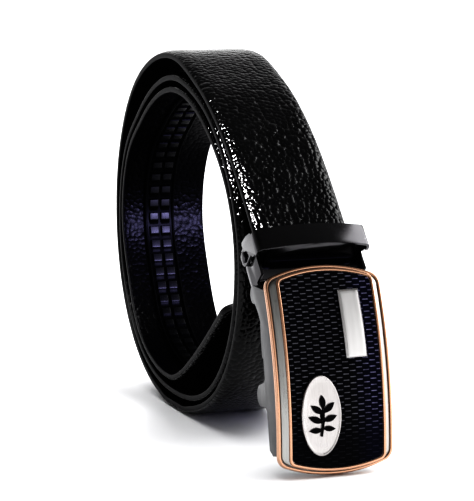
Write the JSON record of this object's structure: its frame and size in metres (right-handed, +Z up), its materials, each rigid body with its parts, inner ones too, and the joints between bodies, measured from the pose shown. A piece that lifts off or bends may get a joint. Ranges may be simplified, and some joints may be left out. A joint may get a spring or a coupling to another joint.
{
  "type": "ratchet belt",
  "caption": "Rolled leather belt stood on its edge, with a slide buckle hinged to a toothed clamp and a ratchet track on the lining.",
  "frame": {"origin": "middle of the bottom of the whole belt as it stands", "axes": "+X across the strap to the right of the face, -Y to the buckle's face, +Z up"},
  "size_m": [0.0438, 0.2036, 0.1397],
  "materials": {
    "leather": "black pebbled leather, polished, with painted edges",
    "track": "moulded strip, satin",
    "gunmetal": "black nickel plate, glossy",
    "nickel": "nickel plate, brushed",
    "rose_gold": "rose gold plate, polished",
    "weave": "woven carbon look under a clear coat",
    "silver": "bright plate, finely brushed",
    "enamel": "black enamel"
  },
  "bodies": {
    "belt": {"strap": "leather", "ratchet_track": "track", "clamp_base": "gunmetal", "jaw_rivet_left": "gunmetal", "jaw_rivet_right": "gunmetal", "hinge_pin": "nickel"},
    "buckle": {"buckle_frame": "nickel", "outer_trim": "rose_gold", "inner_trim": "rose_gold", "face_panel": "weave", "face_bar": "silver", "medallion": "silver", "ornament": "enamel", "pawl_pin": "nickel"},
    "jaw": {"clamp_jaw": "gunmetal"},
    "lever": {"pawl_lever": "nickel"}
  },
  "joints": [
    {"name": "buckle_hinge", "type": "hinge", "parent": "belt", "child": "buckle", "pos_m": [0, -0.07329, 0.06013], "axis": [1, 0, 0], "range_deg": [-25, 45]},
    {"name": "jaw_hinge", "type": "hinge", "parent": "belt", "child": "jaw", "pos_m": [0, -0.06421, 0.072], "axis": [-1, 0, 0], "range_deg": [0, 42]},
    {"name": "pawl_hinge", "type": "hinge", "parent": "buckle", "child": "lever", "pos_m": [0, -0.08085, 0.02605], "axis": [-1, 0, 0], "range_deg": [0, 10], "stiffness_Nm_per_rad": 0.05, "springref_deg": -8.59}
  ]
}
